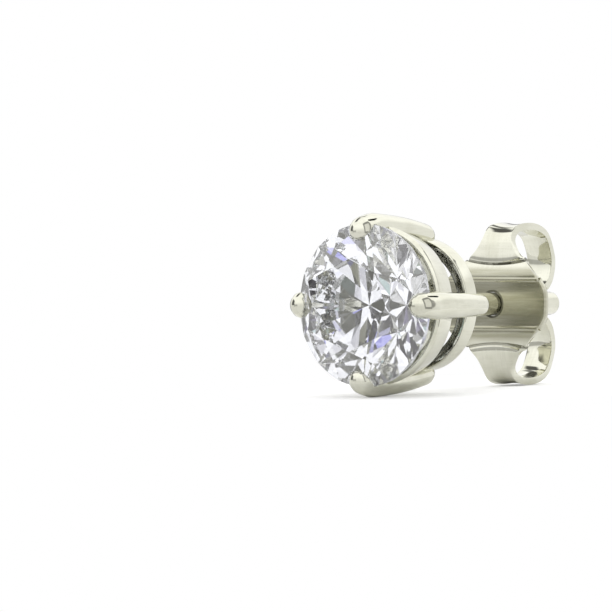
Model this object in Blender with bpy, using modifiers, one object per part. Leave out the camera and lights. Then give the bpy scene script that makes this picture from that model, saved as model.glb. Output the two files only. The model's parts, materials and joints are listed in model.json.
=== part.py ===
"""Stud earring: a round brilliant stone in a four-claw basket, with a post and a butterfly nut.

Each piece is modelled about the post's own axis: +Y runs back along the post, depth 0 is the middle
of the stone's girdle, +Z points to the top claw. An empty then lays the whole earring on its lowest
claw and the nut's lower scroll, with the lowest points on Z = 0. Lengths are in metres.
"""

import math

import bmesh
import bpy
from mathutils import Matrix, Vector

# Stone
STONE_DIAMETER = 0.0065
TABLE_DIAMETER = 0.0037
GIRDLE_THICKNESS = 0.00022
CROWN_ANGLE = math.radians(34.5)
PAVILION_ANGLE = math.radians(40.75)
STAR_REACH_SHARE = 0.50
LOWER_HALF_SHARE = 0.77
FACETS_AROUND = 8
GIRDLE_SIDES = 64
SEAT_CLEARANCE = 0.00004

# Claws: the wire is thickest at the shoulder, and each tip lies over the crown
CLAWS = 4
CLAW_WIRE = 0.00112
CLAW_TIP_FORWARD = 0.00035
CLAW_FOOT = 0.00036
CLAW_SECTIONS = (
    # name, way from tip to heel, centre's reach over the stone's radius, thickness over CLAW_WIRE
    ("tip", 0.00, 0.935, 0.86),
    ("shoulder", 0.19, 0.960, 0.97),
    ("waist", 0.60, 0.929, 0.90),
    ("heel", 1.00, 0.858, 0.79),
)
STEPS_PER_SECTION = 4
STEPS_PER_END = 4
CLAW_ROUNDNESS = 6

# Gallery rings: radii are shares of the stone's radius
UPPER_RING_WALL = 0.00042
LOWER_RING_WALL = 0.00056
RING_CHAMFER = 0.00006
UPPER_RING_SET_BACK = 0.00068
UPPER_RING_HEIGHT = 0.00114
UPPER_RING_FRONT_SHARE = 0.985
UPPER_RING_BACK_SHARE = 0.900
CULET_CLEARANCE = 0.00027
LOWER_RING_HEIGHT = 0.00070
LOWER_RING_FRONT_SHARE = 0.812
LOWER_RING_BACK_SHARE = 0.820
RING_SIDES = 64

# Cross bars, pad and post
BAR_WIDTH = 0.00080
BAR_HEIGHT = 0.00050
BAR_CHAMFER = 0.00008
PAD_DIAMETER = 0.00180
PAD_PROUD = 0.00012
POST_DIAMETER = 0.00092
POST_LENGTH = 0.00832
POST_FILLET = 0.00025
POST_TIP_ROUND = 0.00020
POST_SIDES = 32

# Butterfly nut
NUT_STAND_OFF = 0.00452
NUT_DEPTH = 0.00307
NUT_HEIGHT = 0.00636
NUT_WIDTH = 0.00524
SHEET = 0.00028
DISH = 0.00008
HOLE_CLEARANCE = 0.00014
GRIP_CLEARANCE = 0.00005
SCROLL_SECTIONS = (
    # name, depth over NUT_DEPTH, height over half NUT_HEIGHT, width over NUT_WIDTH, share of DISH
    ("centre", 0.000, 0.00, 1.000, 0.0),
    ("shoulder", 0.000, 0.17, 0.980, 0.0),
    ("flank", 0.000, 0.33, 0.865, 0.0),
    ("crease", 0.000, 0.53, 0.585, 0.0),
    ("neck", 0.055, 0.68, 0.390, 0.6),
    ("wing", 0.100, 0.85, 0.272, 1.0),
    ("curl", 0.200, 0.96, 0.268, 1.0),
    ("crest", 0.400, 1.00, 0.264, 1.0),
    ("ridge", 0.640, 0.985, 0.252, 1.0),
    ("turn", 0.850, 0.89, 0.236, 1.0),
    ("back", 0.960, 0.70, 0.229, 0.8),
    ("belly", 1.000, 0.53, 0.229, 0.4),
    ("grip", 0.955, 0.33, 0.229, 0.0),
    ("lip", 0.870, 0.00, 0.222, 0.0),
)
STEPS_PER_SCROLL = 4
STRIPS_ACROSS = 12

# Worked out from the sizes above
STONE_RADIUS = STONE_DIAMETER / 2
TABLE_RADIUS = TABLE_DIAMETER / 2
POST_RADIUS = POST_DIAMETER / 2
GIRDLE_FRONT = -GIRDLE_THICKNESS / 2
GIRDLE_BACK = GIRDLE_THICKNESS / 2
TABLE_DEPTH = GIRDLE_FRONT - (STONE_RADIUS - TABLE_RADIUS) * math.tan(CROWN_ANGLE)
CULET_DEPTH = GIRDLE_BACK + STONE_RADIUS * math.tan(PAVILION_ANGLE)
UPPER_RING_DEPTH = GIRDLE_BACK + UPPER_RING_SET_BACK
LOWER_RING_DEPTH = CULET_DEPTH + CULET_CLEARANCE
SETTING_BACK = LOWER_RING_DEPTH + LOWER_RING_HEIGHT
BAR_DEPTH = SETTING_BACK - (LOWER_RING_HEIGHT - BAR_HEIGHT) / 2 - BAR_HEIGHT / 2
HEEL_RADIUS = CLAW_WIRE / 2 * CLAW_SECTIONS[-1][3]
CLAW_HEEL_DEPTH = SETTING_BACK + CLAW_FOOT - HEEL_RADIUS
CLAW_TIP_DEPTH = GIRDLE_FRONT - CLAW_TIP_FORWARD + GIRDLE_THICKNESS / 2
POST_END = SETTING_BACK + POST_LENGTH
NUT_PLATE_DEPTH = SETTING_BACK + NUT_STAND_OFF

MERGE = 0.000001
Z_TO_Y = Matrix.Rotation(-math.pi / 2, 3, "X")


def clear_scene():
    for obj in list(bpy.data.objects):
        bpy.data.objects.remove(obj, do_unlink=True)


def new_collection(name):
    collection = bpy.data.collections.new(name)
    bpy.context.scene.collection.children.link(collection)
    return collection


def material(name, colour, roughness, metallic, transmission=0.0, ior=1.5):
    made = bpy.data.materials.new(name)
    made.use_nodes = True
    shader = made.node_tree.nodes["Principled BSDF"]
    shader.inputs["Base Color"].default_value = (*colour, 1.0)
    shader.inputs["Roughness"].default_value = roughness
    shader.inputs["Metallic"].default_value = metallic
    shader.inputs["Transmission Weight"].default_value = transmission
    shader.inputs["IOR"].default_value = ior
    return made


def add_object(name, bm, collection):
    mesh = bpy.data.meshes.new(name)
    bm.to_mesh(mesh)
    bm.free()
    obj = bpy.data.objects.new(name, mesh)
    collection.objects.link(obj)
    return obj


def hide(obj):
    obj.hide_render = True
    obj.display_type = "WIRE"
    return obj


def on_stone(radius, azimuth, depth):
    """The point at this distance from the axis, turned from +Z towards +X."""
    return Vector((radius * math.sin(azimuth), depth, radius * math.cos(azimuth)))


def plane_through(a, b, c):
    """The plane through three points of the stone, its normal away from the girdle's centre."""
    normal = (b - a).cross(c - a).normalized()
    return (a, normal if normal.dot(a) > 0 else -normal)


def facet_planes():
    """Every facet of the brilliant cut, as a point on its plane and the outward normal."""
    step = 2 * math.pi / FACETS_AROUND
    half = step / 2
    apothem = TABLE_RADIUS * math.cos(half)
    star_radius = apothem + STAR_REACH_SHARE * (STONE_RADIUS - apothem)
    star_depth = GIRDLE_FRONT - (STONE_RADIUS - star_radius * math.cos(half)) * math.tan(CROWN_ANGLE)
    lower_radius = STONE_RADIUS * (1 - LOWER_HALF_SHARE)
    lower_depth = GIRDLE_BACK + (STONE_RADIUS - lower_radius * math.cos(half)) * math.tan(PAVILION_ANGLE)
    planes = [(Vector((0, TABLE_DEPTH, 0)), Vector((0, -1, 0)))]
    for k in range(FACETS_AROUND):
        here = k * step
        seam = here + half
        following = here + step
        outward = on_stone(1, here, 0)
        bezel = outward * math.sin(CROWN_ANGLE) - Vector((0, math.cos(CROWN_ANGLE), 0))
        planes.append((on_stone(STONE_RADIUS, here, GIRDLE_FRONT), bezel))
        star = on_stone(star_radius, seam, star_depth)
        corner = on_stone(TABLE_RADIUS, here, TABLE_DEPTH)
        next_corner = on_stone(TABLE_RADIUS, following, TABLE_DEPTH)
        planes.append(plane_through(star, corner, next_corner))
        main = outward * math.sin(PAVILION_ANGLE) + Vector((0, math.cos(PAVILION_ANGLE), 0))
        planes.append((on_stone(STONE_RADIUS, here, GIRDLE_BACK), main))
        low = on_stone(lower_radius, seam, lower_depth)
        for side in (here, following):
            middle = on_stone(STONE_RADIUS, seam, GIRDLE_FRONT)
            planes.append(plane_through(star, on_stone(STONE_RADIUS, side, GIRDLE_FRONT), middle))
            middle = on_stone(STONE_RADIUS, seam, GIRDLE_BACK)
            planes.append(plane_through(low, on_stone(STONE_RADIUS, side, GIRDLE_BACK), middle))
    return planes


def cut_stone(name, collection, clearance=0.0):
    """A round rod along the axis, cut by each facet's plane. The clearance moves every face outwards."""
    bm = bmesh.new()
    length = CULET_DEPTH - TABLE_DEPTH + 4 * STONE_RADIUS
    bmesh.ops.create_cone(
        bm, cap_ends=True, segments=GIRDLE_SIDES, depth=length,
        radius1=STONE_RADIUS + clearance, radius2=STONE_RADIUS + clearance,
    )
    bmesh.ops.rotate(bm, verts=bm.verts, matrix=Z_TO_Y)
    for point, normal in facet_planes():
        cut = bmesh.ops.bisect_plane(
            bm, geom=bm.verts[:] + bm.edges[:] + bm.faces[:], dist=MERGE / 10,
            plane_co=point + normal * clearance, plane_no=normal, clear_outer=True,
        )
        edges = [e for e in cut["geom_cut"] if isinstance(e, bmesh.types.BMEdge) and e.is_boundary]
        bmesh.ops.edgeloop_fill(bm, edges=edges)
    for face in bm.faces:
        if face.normal.dot(face.calc_center_median()) < 0:
            face.normal_flip()
    return add_object(name, bm, collection)


def spline_through(rows, steps):
    """Points on a smooth curve through these rows of numbers, with this many steps from row to row."""
    rows = [Vector(row) for row in rows]
    ends = [2 * rows[0] - rows[1], *rows, 2 * rows[-1] - rows[-2]]
    points = []
    for before, start, end, after in zip(ends, ends[1:], ends[2:], ends[3:]):
        for k in range(steps):
            t = k / steps
            points.append(
                0.5 * (2 * start + (end - before) * t + (2 * before - 5 * start + 4 * end - after) * t**2
                       + (3 * start - before - 3 * end + after) * t**3)
            )
    return points + [rows[-1]]


def claw_wire():
    """(depth, reach, radius) along a claw, from the front of its rounded tip to the back of its heel."""
    length = CLAW_HEEL_DEPTH - CLAW_TIP_DEPTH
    rows = [
        (CLAW_TIP_DEPTH + way * length, reach * STONE_RADIUS, thickness * CLAW_WIRE / 2)
        for _, way, reach, thickness in CLAW_SECTIONS
    ]
    middle = spline_through(rows, STEPS_PER_SECTION)
    points = list(middle)
    for end, inside in ((middle[0], middle[1]), (middle[-1], middle[-2])):
        away = Vector((end.x - inside.x, end.y - inside.y)).normalized()
        dome = []
        for k in range(1, STEPS_PER_END + 1):
            turn = math.pi / 2 * k / (STEPS_PER_END + 0.25)
            along = away * end.z * math.sin(turn)
            dome.append(Vector((end.x + along.x, end.y + along.y, end.z * math.cos(turn))))
        points = dome[::-1] + points if end is middle[0] else points + dome
    return points


def curve_to_mesh(obj, name, collection):
    """A mesh object in the curve's place, with its caps welded."""
    graph = bpy.context.evaluated_depsgraph_get()
    mesh = bpy.data.meshes.new_from_object(obj.evaluated_get(graph))
    bm = bmesh.new()
    bm.from_mesh(mesh)
    bmesh.ops.remove_doubles(bm, verts=bm.verts, dist=MERGE)
    made = add_object(name, bm, collection)
    made.matrix_world = obj.matrix_world
    bpy.data.objects.remove(obj, do_unlink=True)
    bpy.data.meshes.remove(mesh)
    return made


def add_claw(number, collection):
    curve = bpy.data.curves.new(f"claw_wire_{number}", "CURVE")
    curve.dimensions = "3D"
    curve.bevel_depth = 1.0
    curve.bevel_resolution = CLAW_ROUNDNESS
    curve.use_fill_caps = True
    wire = claw_wire()
    azimuth = 2 * math.pi * number / CLAWS
    spline = curve.splines.new("POLY")
    spline.points.add(len(wire) - 1)
    for point, (depth, reach, radius) in zip(spline.points, wire):
        point.co = (*on_stone(reach, azimuth, depth), 1)
        point.radius = radius
    obj = bpy.data.objects.new(curve.name, curve)
    collection.objects.link(obj)
    bpy.context.view_layer.update()
    return curve_to_mesh(obj, f"claw_{number}", collection)


def turned(name, profile, sides, collection, closed):
    """A solid turned about the post's axis from (radius, depth) points, which run down its outer side."""
    mesh = bpy.data.meshes.new(name)
    count = len(profile)
    edges = [(k, (k + 1) % count) for k in range(count if closed else count - 1)]
    mesh.from_pydata([(radius, depth, 0) for radius, depth in profile], edges, [])
    obj = bpy.data.objects.new(name, mesh)
    collection.objects.link(obj)
    screw = obj.modifiers.new("turn", "SCREW")
    screw.axis = "Y"
    screw.steps = sides
    screw.render_steps = sides
    screw.use_merge_vertices = True
    screw.merge_threshold = MERGE
    return obj


def chamfered(front_outer, back_outer, wall, front, back, chamfer):
    """A closed ring profile, its four corners cut, from the back's outer corner forwards."""
    return [
        (back_outer - chamfer, back),
        (back_outer, back - chamfer),
        (front_outer, front + chamfer),
        (front_outer - chamfer, front),
        (front_outer - wall + chamfer, front),
        (front_outer - wall, front + chamfer),
        (back_outer - wall, back - chamfer),
        (back_outer - wall + chamfer, back),
    ]


def add_upper_ring(collection):
    profile = chamfered(
        UPPER_RING_FRONT_SHARE * STONE_RADIUS, UPPER_RING_BACK_SHARE * STONE_RADIUS, UPPER_RING_WALL,
        UPPER_RING_DEPTH, UPPER_RING_DEPTH + UPPER_RING_HEIGHT, RING_CHAMFER,
    )
    return turned("upper_ring", profile, RING_SIDES, collection, closed=True)


def add_lower_ring(collection):
    profile = chamfered(
        LOWER_RING_FRONT_SHARE * STONE_RADIUS, LOWER_RING_BACK_SHARE * STONE_RADIUS, LOWER_RING_WALL,
        LOWER_RING_DEPTH, SETTING_BACK, RING_CHAMFER,
    )
    return turned("lower_ring", profile, RING_SIDES, collection, closed=True)


def add_post(collection):
    """The round pad between the bars and the post behind it, turned as one piece."""
    pad_radius = PAD_DIAMETER / 2
    pad_front = BAR_DEPTH - BAR_HEIGHT / 2 - PAD_PROUD
    pad_back = SETTING_BACK + PAD_PROUD
    profile = [(0, POST_END), (POST_RADIUS - POST_TIP_ROUND, POST_END)]
    for k in range(1, 5):
        turn = math.pi / 8 * k
        profile.append((
            POST_RADIUS - POST_TIP_ROUND * (1 - math.sin(turn)),
            POST_END - POST_TIP_ROUND * (1 - math.cos(turn)),
        ))
    for k in range(5):
        turn = math.pi / 8 * k
        profile.append((
            POST_RADIUS + POST_FILLET * (1 - math.cos(turn)),
            pad_back + POST_FILLET * (1 - math.sin(turn)),
        ))
    profile += [
        (pad_radius - RING_CHAMFER, pad_back),
        (pad_radius, pad_back - RING_CHAMFER),
        (pad_radius, pad_front + RING_CHAMFER),
        (pad_radius - RING_CHAMFER, pad_front),
        (0, pad_front),
    ]
    return turned("post", profile, POST_SIDES, collection, closed=False)


def add_bar(name, across, collection):
    """A bar from claw to claw, across X or Z."""
    reach = CLAW_SECTIONS[-1][2] * STONE_RADIUS
    bm = bmesh.new()
    bmesh.ops.create_cube(bm, size=1)
    size = Vector((BAR_WIDTH, BAR_HEIGHT, BAR_WIDTH))
    size[across] = 2 * reach
    for vert in bm.verts:
        vert.co = Vector(a * b for a, b in zip(vert.co, size))
    obj = add_object(name, bm, collection)
    obj.location.y = BAR_DEPTH
    bevel = obj.modifiers.new("soft edges", "BEVEL")
    bevel.width = BAR_CHAMFER
    bevel.segments = 1
    return obj


def boolean(obj, other, operation):
    modifier = obj.modifiers.new(f"{operation.lower()} {other.name}", "BOOLEAN")
    modifier.operation = operation
    modifier.solver = "EXACT"
    modifier.object = other


def make_stone(parts):
    stone = cut_stone("stone", parts)
    stone.data.materials.append(material("clear stone", (0.95, 0.95, 0.96), 0.0, 0.0, 1.0, 2.42))
    return stone


def make_basket(parts, helpers, metal):
    """Claws, rings, bars, pad and post as one soldered solid, with the stone's seat cut in the claws."""
    basket = add_upper_ring(parts)
    basket.name = "claw_basket"
    joined = [add_lower_ring(helpers)]
    joined += [add_claw(number, helpers) for number in range(CLAWS)]
    joined += [add_bar("level_bar", 0, helpers), add_bar("upright_bar", 2, helpers), add_post(helpers)]
    for other in joined:
        boolean(basket, hide(other), "UNION")
    boolean(basket, hide(cut_stone("seat", helpers, SEAT_CLEARANCE)), "DIFFERENCE")
    basket.data.materials.append(metal)
    return basket


def scroll_path():
    """(depth, height, width, dish) along the upper half of the nut's strip, from the plate's middle."""
    rows = []
    for name, depth, height, width, dish in SCROLL_SECTIONS:
        up = height * (NUT_HEIGHT / 2 - SHEET / 2)
        if name == "lip":
            up = POST_RADIUS + GRIP_CLEARANCE + SHEET / 2
        rows.append((depth * NUT_DEPTH, up, width * NUT_WIDTH / 2, dish * DISH))
    crease = [row[0] for row in SCROLL_SECTIONS].index("crease")
    plate = spline_through([row[1:3] for row in rows[:crease + 2]], STEPS_PER_SCROLL)
    plate = [(0.0, *point, 0.0) for point in plate[:crease * STEPS_PER_SCROLL]]
    bend = [point[:] for point in spline_through([(a, b) for a, b, _, _ in rows[crease:]], STEPS_PER_SCROLL)]
    spread = spline_through([(c, d) for _, _, c, d in rows], STEPS_PER_SCROLL)[len(plate):]
    return plate + [(*place, width, dish) for place, (width, dish) in zip(bend, spread)]


def make_nut(parts, helpers, metal):
    """One strip of sheet, bent into two scrolls. Half is modelled, open at the middle, and mirrored."""
    path = scroll_path()
    rows = len(path)
    bm = bmesh.new()
    bmesh.ops.create_grid(bm, x_segments=STRIPS_ACROSS, y_segments=rows - 1, size=1)
    for vert in bm.verts:
        row = round((vert.co.y + 1) / 2 * (rows - 1))
        side = vert.co.x
        depth, height, width, dish = path[row]
        before = path[max(row - 1, 0)]
        after = path[min(row + 1, rows - 1)]
        way = Vector((after[0] - before[0], after[1] - before[1])).normalized()
        lift = dish * side**2
        vert.co = (side * width, depth - way.y * lift, height + way.x * lift)
    nut = add_object("butterfly_nut", bm, parts)
    nut.location.y = NUT_PLATE_DEPTH
    mirror = nut.modifiers.new("lower half", "MIRROR")
    mirror.use_axis = (False, False, True)
    mirror.merge_threshold = MERGE
    shell = nut.modifiers.new("sheet", "SOLIDIFY")
    shell.thickness = SHEET
    shell.offset = 0.0
    bm = bmesh.new()
    radius = POST_RADIUS + HOLE_CLEARANCE
    bmesh.ops.create_cone(
        bm, cap_ends=True, segments=POST_SIDES, depth=4 * SHEET, radius1=radius, radius2=radius,
    )
    bmesh.ops.rotate(bm, verts=bm.verts, matrix=Z_TO_Y)
    hole = hide(add_object("nut_hole", bm, helpers))
    hole.location.y = NUT_PLATE_DEPTH
    boolean(nut, hole, "DIFFERENCE")
    nut.data.materials.append(metal)
    return nut


def smooth(obj, angle=math.radians(35)):
    obj.data.shade_smooth()
    obj.data.set_sharp_from_angle(angle=angle)


def outline_points(objects):
    """The (Y, Z) of every point of the finished meshes."""
    bpy.context.view_layer.update()
    graph = bpy.context.evaluated_depsgraph_get()
    points = []
    for obj in objects:
        evaluated = obj.evaluated_get(graph)
        mesh = evaluated.to_mesh()
        points += [(evaluated.matrix_world @ vert.co).yz[:] for vert in mesh.vertices]
        evaluated.to_mesh_clear()
    return points


def resting_slope(points):
    """The slope of the line that the earring rests on: the longest side of its outline's underside."""
    under = []
    for point in sorted(points):
        while len(under) > 1:
            (y1, z1), (y2, z2) = under[-2:]
            if (y2 - y1) * (point[1] - z1) > (z2 - z1) * (point[0] - y1):
                break
            under.pop()
        under.append(point)
    sides = [(b[0] - a[0], b[1] - a[1]) for a, b in zip(under, under[1:])]
    run, rise = max(sides, key=lambda side: math.hypot(*side))
    return math.atan2(rise, run)


def lay_down(objects, rest):
    """Turns the earring about X onto its lowest claw and scroll, its box's middle at Y = 0."""
    points = outline_points(objects)
    slope = resting_slope(points)
    turned_points = [
        (y * math.cos(slope) + z * math.sin(slope), z * math.cos(slope) - y * math.sin(slope))
        for y, z in points
    ]
    along = [point[0] for point in turned_points]
    rest.rotation_euler.x = -slope
    rest.location = (0, -(min(along) + max(along)) / 2, -min(point[1] for point in turned_points))
    for obj in objects:
        obj.parent = rest


def main():
    clear_scene()
    parts = new_collection("stud_earring")
    helpers = new_collection("cutters_and_joined_shapes")
    metal = material("polished white gold", (0.80, 0.78, 0.70), 0.08, 1.0)
    rest = bpy.data.objects.new("earring_rest", None)
    parts.objects.link(rest)
    stone = make_stone(parts)
    basket = make_basket(parts, helpers, metal)
    nut = make_nut(parts, helpers, metal)
    for obj in (basket, nut):
        smooth(obj)
    lay_down((stone, basket, nut), rest)
    for helper in helpers.objects:
        helper.parent = rest


main()
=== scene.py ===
import json
import math

import bpy
from mathutils import Matrix, Vector


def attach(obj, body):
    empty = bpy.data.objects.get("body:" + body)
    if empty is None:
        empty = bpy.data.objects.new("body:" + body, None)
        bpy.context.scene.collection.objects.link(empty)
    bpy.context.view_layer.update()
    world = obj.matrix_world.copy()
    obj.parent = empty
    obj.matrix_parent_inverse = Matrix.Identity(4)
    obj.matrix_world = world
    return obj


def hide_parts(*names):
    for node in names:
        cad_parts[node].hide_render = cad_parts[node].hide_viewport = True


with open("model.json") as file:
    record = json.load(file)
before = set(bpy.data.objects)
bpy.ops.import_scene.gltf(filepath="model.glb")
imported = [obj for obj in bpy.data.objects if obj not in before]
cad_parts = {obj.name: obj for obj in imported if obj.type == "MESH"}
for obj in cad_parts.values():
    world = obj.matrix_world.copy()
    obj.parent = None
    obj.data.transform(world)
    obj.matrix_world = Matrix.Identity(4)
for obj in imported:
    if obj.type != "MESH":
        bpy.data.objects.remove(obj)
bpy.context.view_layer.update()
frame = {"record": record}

mm = 0.001


# shader maths: a wire is a socket, and + - * / < > on it add Math nodes
class Wire:
    def __init__(self, tree, socket=None):
        self.tree = tree
        self.socket = socket

    def node(self, kind, settings=None, inputs=None, output=0):
        made = self.tree.nodes.new(kind)
        for name, value in (settings or {}).items():
            if name == "steps":  # a ramp of flat tones
                made.color_ramp.interpolation = "CONSTANT"
                while len(made.color_ramp.elements) < len(value):
                    made.color_ramp.elements.new(0.5)
                for stop, (place, colour) in zip(made.color_ramp.elements, value):
                    stop.position = place
                    stop.color = (*colour, 1)
            else:
                setattr(made, name, value)
        for name, value in (inputs or {}).items():
            if isinstance(value, Wire):
                self.tree.links.new(value.socket, made.inputs[name])
            else:
                made.inputs[name].default_value = value
        return Wire(self.tree, made.outputs[output])

    def maths(self, operation, first, second=0.0):
        return self.node("ShaderNodeMath", {"operation": operation}, {0: first, 1: second})

    def absolute(self):
        return self.maths("ABSOLUTE", self)

    def root(self):
        return self.maths("SQRT", self)

    def larger(self, other):
        return self.maths("MAXIMUM", self, other)

    def __add__(self, other):
        return self.maths("ADD", self, other)

    def __radd__(self, other):
        return self.maths("ADD", other, self)

    def __sub__(self, other):
        return self.maths("SUBTRACT", self, other)

    def __rsub__(self, other):
        return self.maths("SUBTRACT", other, self)

    def __mul__(self, other):
        return self.maths("MULTIPLY", self, other)

    def __rmul__(self, other):
        return self.maths("MULTIPLY", other, self)

    def __truediv__(self, other):
        return self.maths("DIVIDE", self, other)

    def __rtruediv__(self, other):
        return self.maths("DIVIDE", other, self)

    def __gt__(self, other):
        return self.maths("GREATER_THAN", self, other)

    def __lt__(self, other):
        return self.maths("LESS_THAN", self, other)

    def blend(self, low, high):  # low where this mask is 0, high where it is 1
        inputs = {0: self, 6: low, 7: high}
        return self.node("ShaderNodeMix", {"data_type": "RGBA"}, inputs, 2)

    def between(self, low, high):  # a share from 0 to 1, spread from low to high
        return self * (high - low) + low

    def fade(self, start, end):  # 0 before start, 1 past end, softly
        inputs = {"Value": self, "From Min": start, "From Max": end}
        return self.node("ShaderNodeMapRange", {"interpolation_type": "SMOOTHSTEP"}, inputs)

    def dot(self, way):
        return self.node("ShaderNodeVectorMath", {"operation": "DOT_PRODUCT"}, {0: self, 1: way}, "Value")


# the earring's own frame: y runs back along the post, depth 0 is the stone's girdle, z is the top claw
layout = {
    "postEndBehindGirdle": 12.2 * mm,
    "girdlePixel": (365.2, 305.3),
    "pixelsPerMm": 25.15,
    "pictureSide": 612,
    "cameraDistance": 1000 * mm,
    "cameraAzimuth": 38.0,
    "cameraElevation": 0.5,
    "sensorWidth": 36,
    "nearAndFar": (0.01, 10),  # metres
}
mounts = {mount["name"]: mount for mount in frame["record"]["mounts"]}
postWay = Vector(frame["record"]["behaviour"]["joints"][0]["axis"])
restLean = math.asin(-postWay.z)
girdleCentre = Vector(mounts["post_tip"]["pos_m"]) - postWay * layout["postEndBehindGirdle"]
toRest = Matrix.Translation(girdleCentre) @ Matrix.Rotation(-restLean, 4, "X")
fromMm = toRest @ Matrix.Scale(mm, 4)  # pieces are modelled with 1 unit as 1 mm


def aimCamera():
    azimuth = math.radians(layout["cameraAzimuth"])
    elevation = math.radians(layout["cameraElevation"])
    away = Vector((
        math.sin(azimuth) * math.cos(elevation),
        -math.cos(azimuth) * math.cos(elevation),
        math.sin(elevation),
    ))
    right = Vector((math.cos(azimuth), math.sin(azimuth), 0))
    up = away.cross(right)
    middle = layout["pictureSide"] / 2
    scale = mm / layout["pixelsPerMm"]
    across = (layout["girdlePixel"][0] - middle) * scale
    down = (layout["girdlePixel"][1] - middle) * scale
    place = away * layout["cameraDistance"]
    aim = up * down - right * across
    back = (place - aim).normalized()
    side = up.cross(back).normalized()
    turn = Matrix((side, back.cross(side), back)).transposed()
    data = bpy.data.cameras.new("camera")
    data.sensor_width = layout["sensorWidth"]
    data.lens = data.sensor_width * layout["cameraDistance"] / (layout["pictureSide"] * scale)
    data.clip_start, data.clip_end = layout["nearAndFar"]
    camera = bpy.data.objects.new("camera", data)
    bpy.context.collection.objects.link(camera)
    camera.matrix_world = toRest @ Matrix.Translation(place) @ turn.to_4x4()
    bpy.context.scene.camera = camera


# modelling helpers: each works on the active object
def start(primitive, name, **settings):
    bpy.ops.object.select_all(action="DESELECT")
    getattr(bpy.ops.mesh, f"primitive_{primitive}_add")(**settings)
    obj = bpy.context.object
    obj.name = name
    bpy.ops.object.transform_apply(location=True, rotation=True, scale=True)
    return obj


def select(obj, wanted):  # edit mode, with the points that are wanted
    bpy.ops.object.mode_set(mode="EDIT")
    bpy.ops.mesh.select_mode(type="VERT")
    bpy.ops.mesh.select_all(action="DESELECT")
    bpy.ops.object.mode_set(mode="OBJECT")
    for vert in obj.data.vertices:
        vert.select = wanted(vert.co)
    bpy.ops.object.mode_set(mode="EDIT")


def shape(kind, **settings):  # a modifier, applied at once
    obj = bpy.context.object
    modifier = obj.modifiers.new(kind.lower(), kind)
    for name, value in settings.items():
        setattr(modifier, name, value)
    bpy.ops.object.modifier_apply(modifier=modifier.name)


def activate(obj):
    bpy.ops.object.select_all(action="DESELECT")
    obj.select_set(True)
    bpy.context.view_layer.objects.active = obj


def copyOf(obj, name):
    made = obj.copy()
    made.data = obj.data.copy()
    made.name = name
    bpy.context.collection.objects.link(made)
    return made


def settle(obj, node, body, material, smoothAngle=40):  # to its place, as the CAD has it
    activate(obj)
    obj.data.transform(fromMm)
    obj.data.materials.clear()
    obj.data.materials.append(material)
    bpy.ops.object.shade_smooth_by_angle(angle=math.radians(smoothAngle))
    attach(obj, body)
    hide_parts(node)


def widen(obj, wanted, ratio, depth):  # the wanted points, from the post's axis
    select(obj, wanted)
    bpy.ops.transform.resize(value=(ratio, 1, ratio), center_override=(0, depth, 0))
    bpy.ops.object.mode_set(mode="OBJECT")


def pointOutwards():
    bpy.ops.object.mode_set(mode="EDIT")
    bpy.ops.mesh.select_all(action="SELECT")
    bpy.ops.mesh.normals_make_consistent(inside=False)
    bpy.ops.object.mode_set(mode="OBJECT")


def smoothRows(rows, steps):  # rows of numbers, with points between them on a smooth curve
    rows = [Vector(row) for row in rows]
    ends = [2 * rows[0] - rows[1], *rows, 2 * rows[-1] - rows[-2]]
    made = []
    for before, first, second, after in zip(ends, ends[1:], ends[2:], ends[3:]):
        for k in range(steps):
            t = k / steps
            bend = 2 * before - 5 * first + 4 * second - after
            twist = 3 * first - before - 3 * second + after
            made.append((2 * first + (second - before) * t + bend * t**2 + twist * t**3) / 2)
    return made + [rows[-1]]


def sweep(name, rows, sides):  # a round rod through (depth, height, radius) rows
    depth, height, radius = rows[0]
    obj = start(
        "circle", name, vertices=sides, radius=radius, fill_type="NGON",
        location=(0, depth, height), rotation=(math.pi / 2, 0, 0),
    )
    bpy.ops.object.mode_set(mode="EDIT")
    bpy.ops.mesh.select_all(action="SELECT")
    for (y0, z0, r0), (y1, z1, r1) in zip(rows, rows[1:]):
        bpy.ops.mesh.extrude_region_move(TRANSFORM_OT_translate={"value": (0, y1 - y0, z1 - z0)})
        bpy.ops.transform.resize(value=(r1 / r0,) * 3, center_override=(0, y1, z1))
    pointOutwards()
    return obj


claw = {
    "sides": 32,
    "count": 4,
    "stepsBetween": 3,
    "domeSteps": 5,
    "domeClose": 0.15,  # leaves a small flat at the dome's tip
    "rows": (  # depth, height above the post's axis, wire radius
        (-0.19, 3.022, 0.528),
        (0.05, 3.052, 0.556),
        (0.44, 3.096, 0.568),
        (1.20, 3.078, 0.540),
        (2.14, 3.019, 0.504),
        (3.00, 2.920, 0.472),
        (3.80, 2.789, 0.442),
    ),
    "seatClearance": 0.02,
    "stoneRadius": 3.25,
}


def stoneCutter():  # the stone's own shape, a hair larger, in mm
    cutter = copyOf(bpy.data.objects["stone"], "seatCutter")
    activate(cutter)
    cutter.data.transform(fromMm.inverted())
    bpy.ops.object.mode_set(mode="EDIT")
    bpy.ops.mesh.select_all(action="SELECT")
    bpy.ops.mesh.remove_doubles(threshold=0.001)
    ratio = 1 + claw["seatClearance"] / claw["stoneRadius"]
    bpy.ops.transform.resize(value=(ratio,) * 3, center_override=(0, 0, 0))
    bpy.ops.object.mode_set(mode="OBJECT")
    return cutter


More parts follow.
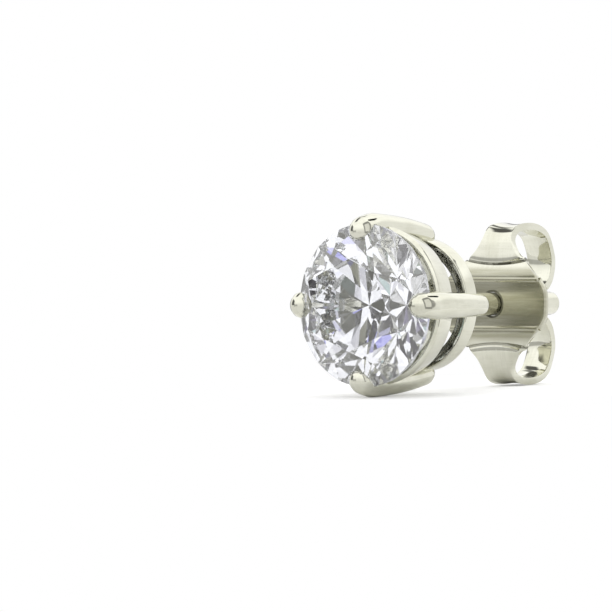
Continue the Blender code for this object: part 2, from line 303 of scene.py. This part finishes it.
def makeClaws(material, cutter):
    rows = smoothRows(claw["rows"], claw["stepsBetween"])
    full = [tuple(row) for row in rows]
    for end, inside in ((rows[0], rows[1]), (rows[-1], rows[-2])):
        away = Vector((end.x - inside.x, end.y - inside.y)).normalized()
        dome = []
        for k in range(1, claw["domeSteps"] + 1):
            turn = math.pi / 2 * k / (claw["domeSteps"] + claw["domeClose"])
            way = away * end.z * math.sin(turn)
            dome.append((end.x + way.x, end.y + way.y, end.z * math.cos(turn)))
        full = dome[::-1] + full if end is rows[0] else full + dome
    first = sweep("clawTop", full, claw["sides"])
    shape("BOOLEAN", operation="DIFFERENCE", solver="EXACT", object=cutter)
    names = ("clawTop", "clawNear", "clawBottom", "clawFar")
    claws = [first] + [copyOf(first, name) for name in names[1:]]
    for k, obj in enumerate(claws):
        obj.data.transform(Matrix.Rotation(2 * math.pi * k / claw["count"], 4, "Y"))
        settle(obj, "claw_basket", "setting", material)
    print("claws made")


rings = {
    "sides": 144,
    "edgeAngle": 50,
    "upper": {  # depths and radii in mm
        "front": 0.79, "back": 1.93, "frontRadius": 3.201, "backRadius": 2.925,
        "wall": 0.42, "seatRadius": 3.01, "softEdge": 0.05,
        "lipRadius": 2.36, "lipDepth": 1.02,  # the bearing that the stone sits above
    },
    "lower": {
        "front": 3.18, "back": 3.88, "frontRadius": 2.639, "backRadius": 2.665,
        "wall": 0.56, "seatRadius": 2.16, "softEdge": 0.07,
    },
}


def makeRing(which, material):
    size = rings[which]
    middle = (size["front"] + size["back"]) / 2
    obj = start(
        "cylinder", f"{which}GalleryRing", vertices=rings["sides"], radius=size["backRadius"],
        depth=size["back"] - size["front"], end_fill_type="NOTHING",
        location=(0, middle, 0), rotation=(math.pi / 2, 0, 0),
    )
    widen(obj, lambda co: co.y < middle, size["frontRadius"] / size["backRadius"], size["front"])
    shape("SOLIDIFY", thickness=size["wall"], offset=-1, use_even_offset=True)

    def inside(co):
        return math.hypot(co.x, co.z) < size["frontRadius"] - size["wall"] / 2

    ratio = size["seatRadius"] / (size["frontRadius"] - size["wall"])
    widen(obj, lambda co: co.y < middle and inside(co), ratio, size["front"])
    if "lipRadius" in size:
        select(obj, lambda co: True)
        bpy.ops.mesh.bisect(plane_co=(0, size["lipDepth"], 0), plane_no=(0, 1, 0))
        bpy.ops.object.mode_set(mode="OBJECT")

        def onLip(co):
            return abs(co.y - size["lipDepth"]) < 0.001 and inside(co)

        wall = next(vert.co for vert in obj.data.vertices if onLip(vert.co))
        widen(obj, onLip, size["lipRadius"] / math.hypot(wall.x, wall.z), size["lipDepth"])
    edge = math.radians(rings["edgeAngle"])
    shape("BEVEL", width=size["softEdge"], segments=4, limit_method="ANGLE", angle_limit=edge)
    settle(obj, "claw_basket", "setting", material, rings["edgeAngle"])


bars = {"width": 0.80, "thickness": 0.50, "depth": 3.53, "reach": 2.75, "softEdge": 0.09, "edgeAngle": 50}


def makeBars(material):
    for name, across in (("levelBar", 0), ("uprightBar", 2)):
        size = [bars["width"], bars["thickness"], bars["width"]]
        size[across] = 2 * bars["reach"]
        obj = start("cube", name, size=1, location=(0, bars["depth"], 0), scale=size)
        shape("BEVEL", width=bars["softEdge"], segments=3)
        settle(obj, "claw_basket", "setting", material, bars["edgeAngle"])


post = {
    "sides": 64,
    "edgeAngle": 50,
    "rows": (  # depth, height, radius: pad, fillet, pin, rounded end
        (3.16, 0, 0.82), (3.18, 0, 0.87), (3.22, 0, 0.90), (3.94, 0, 0.90), (3.98, 0, 0.87), (4.00, 0, 0.82),
        (4.00, 0, 0.70), (4.02, 0, 0.60), (4.07, 0, 0.53), (4.14, 0, 0.485), (4.25, 0, 0.46),
        (12.00, 0, 0.46), (12.08, 0, 0.445), (12.14, 0, 0.40), (12.18, 0, 0.34), (12.20, 0, 0.26),
    ),
}


def makePost(material):
    obj = sweep("postAndPad", post["rows"], post["sides"])
    settle(obj, "claw_basket", "setting", material, post["edgeAngle"])
    print("rings, bars and post made")


nut = {
    "plateDepth": 8.40,
    "sheet": 0.28,
    "holeRadius": 0.48,
    "holeSides": 64,
    "cutterLength": 1.2,
    "stripsAcross": 16,
    "stepsBetween": 4,
    "softEdge": 0.04,
    "softenFrom": 60,
    "edgeAngle": 50,
    "rows": (  # depth, height, half width, dish, how far the row's middle sags
        (0.000, 0.00, 2.62, 0.00, 0.00),
        (0.000, 0.52, 2.57, 0.00, 0.00),
        (0.000, 0.90, 2.34, 0.00, 0.00),
        (-0.030, 0.97, 2.27, 0.00, 0.00),
        (-0.010, 1.04, 2.20, 0.00, 0.00),
        (0.010, 1.22, 2.02, 0.00, 0.03),
        (0.150, 1.57, 1.60, 0.00, 0.11),
        (0.250, 1.70, 1.44, 0.00, 0.16),
        (0.150, 1.84, 1.27, 0.00, 0.14),
        (0.190, 2.12, 0.98, 0.00, 0.04),
        (0.310, 2.58, 0.72, 0.02, 0.00),
        (0.610, 2.92, 0.70, 0.06, 0.00),
        (1.228, 3.04, 0.69, 0.06, 0.00),
        (1.965, 2.99, 0.66, 0.06, 0.00),
        (2.610, 2.71, 0.62, 0.06, 0.00),
        (2.947, 2.13, 0.60, 0.05, 0.00),
        (3.070, 1.61, 0.60, 0.03, 0.00),
        (2.932, 1.00, 0.60, 0.00, 0.00),
        (2.670, 0.65, 0.58, 0.00, 0.00),
    ),
}


def makeNut(material):
    rows = smoothRows(nut["rows"], nut["stepsBetween"])
    obj = start(
        "grid", "butterflyScrolls", x_subdivisions=nut["stripsAcross"], y_subdivisions=1, size=2,
        rotation=(math.pi / 2, 0, 0),
    )
    select(obj, lambda co: co.z < 0)  # the grid's lower edge is the nut's middle, its upper one the first row
    bpy.ops.transform.resize(value=(rows[0][2], 1, 0), center_override=(0, 0, 0))
    select(obj, lambda co: co.z > 0.5)
    depth, height, width = rows[1][:3]
    bpy.ops.transform.resize(value=(width, 1, height), center_override=(0, 0, 0))
    bpy.ops.transform.translate(value=(0, depth, 0))
    for (y0, z0, w0, _, _), (y1, z1, w1, _, _) in zip(rows[1:], rows[2:]):
        bpy.ops.mesh.extrude_region_move(TRANSFORM_OT_translate={"value": (0, y1 - y0, z1 - z0)})
        bpy.ops.transform.resize(value=(w1 / w0, 1, 1), center_override=(0, y1, z1))
    bpy.ops.object.mode_set(mode="OBJECT")
    dishSheet(obj, rows)
    shape("MIRROR", use_axis=(False, False, True), merge_threshold=0.001)
    shape("SUBSURF", levels=1, render_levels=1)
    pointOutwards()
    shape("SOLIDIFY", thickness=nut["sheet"], offset=0)
    hole = start(
        "cylinder", "holeCutter", vertices=nut["holeSides"], radius=nut["holeRadius"],
        depth=nut["cutterLength"], rotation=(math.pi / 2, 0, 0),
    )
    activate(obj)
    shape("BOOLEAN", operation="DIFFERENCE", solver="EXACT", object=hole)
    bpy.data.objects.remove(hole)
    edge = math.radians(nut["softenFrom"])
    shape("BEVEL", width=nut["softEdge"], segments=3, limit_method="ANGLE", angle_limit=edge)
    obj.data.transform(Matrix.Translation((0, nut["plateDepth"], 0)))
    settle(obj, "butterfly_nut", "nut", material, nut["edgeAngle"])
    print("nut made")


def dishSheet(obj, rows):  # the sides of each row bend back, and its middle sags
    for vert in obj.data.vertices:
        row = min(range(len(rows)), key=lambda k: (Vector(vert.co.yz) - rows[k].xy).length)
        width, dish, sag = rows[row][2:]
        along = (rows[min(row + 1, len(rows) - 1)] - rows[max(row - 1, 0)]).xy.normalized()
        side = abs(vert.co.x) / width
        lift = dish * side**2
        vert.co.y -= along.y * lift
        vert.co.z += along.x * lift + sag * (side**2 - 1)


def newMaterial(name, constants):
    material = bpy.data.materials.new(name)
    material.use_nodes = True
    shader = material.node_tree.nodes["Principled BSDF"]
    for socket, value in constants.items():
        shader.inputs[socket].default_value = value
    return material, shader, Wire(material.node_tree)


def connect(shader, wires):
    for socket, wire in wires.items():
        wire.tree.links.new(wire.socket, shader.inputs[socket])


def ownPlace(w):  # x, depth and height in mm, in the earring's own frame
    place = w.node("ShaderNodeTexCoord", output="Object")
    place = w.node("ShaderNodeVectorMath", {"operation": "SUBTRACT"}, {0: place, 1: girdleCentre}, "Vector")
    axes = [toRest.to_3x3() @ Vector(axis) / mm for axis in ((1, 0, 0), (0, 1, 0), (0, 0, 1))]
    return [place.dot(axis) for axis in axes]


def noise(w, place, scales, detail=4.0):  # about 0.5, its scales are grains in a mm along each axis
    parts = {name: part * scale for name, part, scale in zip(("X", "Y", "Z"), place, scales)}
    vector = w.node("ShaderNodeCombineXYZ", inputs=parts)
    return w.node("ShaderNodeTexNoise", inputs={"Vector": vector, "Scale": 1.0, "Detail": detail})


finish = {
    "gold": (0.79, 0.785, 0.675, 1),
    "goldWorn": (0.73, 0.725, 0.61, 1),
    # the dull gold tints scratches and is also the plate's painted reflection; the dark gold is painted shade
    "goldDullAndShade": (0.43, 0.42, 0.315, 1),
    "goldPaintedShade": (0.085, 0.083, 0.06, 1),
    # grains in a mm along x, depth and height, then where the noise's fade starts and ends
    "wornPatches": ((0.9, 0.9, 0.9), (0.42, 0.68)),
    "shadePatches": ((1.1, 1.1, 1.1), (0.52, 0.62)),
    "shadeCover": (0.7, 1.0),
    "shadeStreaks": ((0.5, 0.5, 9.0), (0.3, 0.7)),
    "shadeStreakCover": (0.75, 1.10),
    "smears": ((3.0, 3.0, 3.0), (0.35, 0.75)),
    "polish": (0.035, 0.10),  # roughness between the smears and on them
    "dullRoughness": 0.24,
    "scratchesAlong": (1.2, 0.8, 11.0),
    "scratchesAcross": (10.0, 1.0, 1.5),
    "scratchFade": (0.20, 0.36),
    "scratchTint": 0.12,
    "scratchBump": 0.25,
    "scratchHeight": 0.0006 * mm,
}


def whiteGold(name, shadeWhere, roughAndShadedWhere=None):
    material, shader, w = newMaterial(name, {"Metallic": 1.0})
    place = ownPlace(w)

    def patches(which, detail=4.0):
        scales, (start, end) = finish[which]
        return noise(w, place, scales, detail).fade(start, end)

    scratches = noise(w, place, finish["scratchesAlong"], 5.0)
    scratches = scratches * noise(w, place, finish["scratchesAcross"], 5.0)
    colour = patches("wornPatches").blend(finish["gold"], finish["goldWorn"])
    tint = scratches.fade(*finish["scratchFade"]) * finish["scratchTint"]
    colour = tint.blend(colour, finish["goldDullAndShade"])
    roughness = patches("smears").between(*finish["polish"])
    if roughAndShadedWhere:
        # painted reflection: the plate is darkened in streaks, and made rougher
        plateRoughAndShade = roughAndShadedWhere(*place)
        cover = plateRoughAndShade * patches("shadeStreaks", 3.0).between(*finish["shadeStreakCover"])
        colour = cover.blend(colour, finish["goldDullAndShade"])
        roughness = roughness.larger(plateRoughAndShade * finish["dullRoughness"])
    # painted shade: darker gold where the shade mask is, broken up by noise
    cover = shadeWhere(*place) * patches("shadePatches").between(*finish["shadeCover"])
    colour = cover.blend(colour, finish["goldPaintedShade"])
    relief = {"Strength": finish["scratchBump"], "Distance": finish["scratchHeight"], "Height": scratches}
    bump = w.node("ShaderNodeBump", inputs=relief)
    connect(shader, {"Base Color": colour, "Roughness": roughness, "Normal": bump})
    return material


ringShade = {
    "depths": (0.88, 1.1, 3.7),  # starts, is full, ends
    "radius": (3.12, 0.155),  # at the girdle's depth, and how much less for each mm behind it
    "fade": (0.06, 0.16),
}


def ringGapShade(x, depth, height):  # painted shade: darkens the rings' inner walls and the gap between the rings
    start, full, end = ringShade["depths"]
    radius, taper = ringShade["radius"]
    inward = radius - depth * taper - (x * x + height * height).root()
    return inward.fade(*ringShade["fade"]) * (depth.fade(start, full) * (depth < end))


nutShade = {
    "plateEdge": (1.56, 1.30),  # height of the plate's rougher band with painted reflection, where its fade starts and ends
    "plateBehind": 0.3,
    "plateShadeAmount": (0.92, 0.45),  # painted reflection amount, front and back
    "frontToBack": (-0.05, 0.10),
    "holeEdge": 0.565,
    "creaseHeight": (1.60, 0.075),  # at the middle, and its rise with the square of x
    "creaseWidth": (0.08, 0.032),
    "creaseBehind": 0.6,
}


def nutPlateShade(x, depth, height):  # the plate between the creases: rougher, and darkened with a painted reflection
    behind = depth - nut["plateDepth"]
    band = height.absolute().fade(*nutShade["plateEdge"]) * (behind < nutShade["plateBehind"])
    return band * behind.fade(*nutShade["frontToBack"]).between(*nutShade["plateShadeAmount"])


def nutCreaseShade(x, depth, height):  # painted shade: dark lines in the creases and round the hole
    middle, rise = nutShade["creaseHeight"]
    away = height.absolute() - (x * x * rise + middle)
    line = away.absolute().fade(*nutShade["creaseWidth"])
    hole = (x * x + height * height) < nutShade["holeEdge"] ** 2
    return line.larger(hole) * (depth < nut["plateDepth"] + nutShade["creaseBehind"])


brilliant = {
    "clear": (1, 1, 1, 1),
    "faintBlue": (0.965, 0.97, 0.985, 1),
    "polishLines": (9.0, 40.0, 9.0),
    "tintFade": (0.3, 0.7),
    "lineFade": (0.55, 0.8),
    "lineRoughness": 0.012,
    "girdleRadius": (3.23, 3.245),
    "girdleRoughness": 0.22,
    "bending": 2.42,
}


def clearStone():
    constants = {"IOR": brilliant["bending"], "Transmission Weight": 1.0}
    material, shader, w = newMaterial("clearStone", constants)
    x, depth, height = place = ownPlace(w)
    girdle = (x * x + height * height).root().fade(*brilliant["girdleRadius"])
    polish = noise(w, place, brilliant["polishLines"], 5.0)
    colour = polish.fade(*brilliant["tintFade"]).blend(brilliant["clear"], brilliant["faintBlue"])
    lines = polish.fade(*brilliant["lineFade"]) * brilliant["lineRoughness"]
    connect(shader, {"Base Color": colour, "Roughness": girdle * brilliant["girdleRoughness"] + lines})
    return material


stage = {
    "radius": 10.5 * mm,
    "sides": 96,
    "middle": (0, 2.5 * mm, 0),
    "tone": 0.84,
    "dullness": 0.9,
    "glow": 0.26,  # for the camera alone
}


def paleStage():
    floor = start(
        "circle", "paleFloor", vertices=stage["sides"], fill_type="NGON",
        radius=stage["radius"], location=stage["middle"],
    )
    tone = (stage["tone"],) * 3 + (1,)
    constants = {"Base Color": tone, "Roughness": stage["dullness"], "Emission Strength": stage["glow"]}
    material, shader, w = newMaterial("paleFloor", constants)
    seen = w.node("ShaderNodeLightPath", output="Is Camera Ray").blend((0, 0, 0, 1), (1, 1, 1, 1))
    connect(shader, {"Emission Color": seen})
    floor.data.materials.append(material)


# soft cards round the earring: each one's centre, half sizes as shares of its distance, softness and tone
lightBox = {
    "metalBase": (0.93, 1.24),  # level and overhead
    "overheadFade": (0.05, 0.55),
    "belowFade": (-0.02, -0.10),
    "below": 0.84,
    "metalCards": (
        ((0.86, -0.06, 0.34), (0.60, 1.06), 0.03, 0.36),  # a framed panel on the right
        ((0.86, -0.06, 0.34), (0.38, 0.58), 0.03, 0.88),
        ((0.55, 0.80, 0.00), (0.50, 0.50), 0.15, 0.95),  # behind, right
        ((-0.62, 0.79, -0.04), (0.42, 0.15), 0.07, 0.24),  # behind, left
        ((-0.60, 0.12, 0.74), (0.26, 0.15), 0.05, 0.12),  # above, left
        ((-0.55, 0.52, 0.60), (0.16, 0.10), 0.04, 0.22),  # above, left, behind
        ((-0.62, -0.79, -0.02), (0.42, 0.17), 0.05, 0.50),  # in front, left
        ((-0.87, -0.25, 0.20), (0.26, 0.24), 0.05, 0.14),  # left
        ((0.06, 0.46, 0.84), (0.26, 0.20), 0.03, 1.36),  # overhead
        ((0.24, 0.55, 0.78), (0.11, 0.15), 0.02, 0.02),  # a small black card beside it
    ),
    "stoneCell": 2.6,
    "stoneTones": (  # the studio in patches, as the stone sees it
        (0.00, (0.045, 0.042, 0.046)), (0.14, (0.115, 0.115, 0.095)), (0.29, (0.25, 0.25, 0.265)),
        (0.40, (0.40, 0.40, 0.88)), (0.43, (0.50, 0.63, 0.63)), (0.54, (0.75, 0.75, 0.81)),
        (0.63, (1.15, 1.16, 1.21)),
    ),
    "stoneCards": (  # dark, olive, grey, lavender and violet cards in front
        ((0.00, -1.00, 0.06), (0.32, 0.18), 0.02, (0.095, 0.095, 0.078)),
        ((0.27, -0.94, 0.22), (0.13, 0.14), 0.02, (0.26, 0.26, 0.20)),
        ((0.40, -0.88, 0.28), (0.07, 0.14), 0.02, (0.38, 0.38, 0.37)),
        ((0.50, -0.81, 0.31), (0.09, 0.13), 0.02, (0.38, 0.38, 0.88)),
        ((-0.08, -0.75, 0.66), (0.12, 0.12), 0.02, (0.14, 0.12, 0.21)),
    ),
    "spread": (1.25, 1.25, 1.25, 1),  # what falls on the floor
    "ground": (1, 1, 1, 1),  # what the camera sees behind
    "bounces": 36,
}


def card(sky, centre, halves, softness):
    centre = Vector(centre).normalized()
    right = Vector((0, 0, 1)).cross(centre)
    right.normalize()
    up = centre.cross(right)
    ahead = sky.dot(centre)
    mask = ahead > 0.01
    for way, half in ((right, halves[0]), (up, halves[1])):
        mask = mask * (sky.dot(way) / ahead).absolute().fade(half + softness, half - softness)
    return mask


def studioLight():
    scene = bpy.context.scene
    world = bpy.data.worlds.new("studio")
    scene.world = world
    world.use_nodes = True
    w = Wire(world.node_tree)
    background = world.node_tree.nodes["Background"]
    sky = w.node("ShaderNodeTexCoord", output="Generated")
    height = sky.dot((0, 0, 1))
    metal = height.fade(*lightBox["overheadFade"]).between(*lightBox["metalBase"])
    level = lightBox["metalBase"][0]
    metal = height.fade(*lightBox["belowFade"]) * (lightBox["below"] - level) + metal
    for centre, halves, softness, bright in lightBox["metalCards"]:
        mask = card(sky, centre, halves, softness)
        metal = mask * (bright - metal) + metal
    seen = w.node("ShaderNodeLightPath", output="Is Camera Ray")
    spread = w.node("ShaderNodeLightPath", output="Is Diffuse Ray")
    inStone = w.node("ShaderNodeLightPath", output="Transmission Depth") > 0.5
    cells = {"Vector": sky, "Scale": lightBox["stoneCell"]}
    cells = w.node("ShaderNodeTexVoronoi", inputs=cells, output="Color")
    draw = w.node("ShaderNodeSeparateColor", inputs={"Color": cells}, output="Red")
    sparkle = w.node("ShaderNodeValToRGB", {"steps": lightBox["stoneTones"]}, {"Fac": draw}, "Color")
    for centre, halves, softness, tone in lightBox["stoneCards"]:
        sparkle = card(sky, centre, halves, softness).blend(sparkle, (*tone, 1))
    light = inStone.blend(metal, sparkle)
    light = seen.blend(spread.blend(light, lightBox["spread"]), lightBox["ground"])
    world.node_tree.links.new(light.socket, background.inputs["Color"])
    scene.view_settings.view_transform = "Standard"
    scene.cycles.max_bounces = lightBox["bounces"]
    scene.cycles.glossy_bounces = lightBox["bounces"]
    scene.cycles.transmission_bounces = lightBox["bounces"]


basketGold = whiteGold("basketWhiteGold", ringGapShade)
nutGold = whiteGold("nutWhiteGold", nutCreaseShade, nutPlateShade)
cutter = stoneCutter()
makeClaws(basketGold, cutter)
bpy.data.objects.remove(cutter)
makeRing("upper", basketGold)
makeRing("lower", basketGold)
makeBars(basketGold)
makePost(basketGold)
makeNut(nutGold)
stone = bpy.data.objects["stone"]
stone.data.materials.clear()
stone.data.materials.append(clearStone())
print("stone finished")
aimCamera()
paleStage()
studioLight()
print("camera, floor and light set")
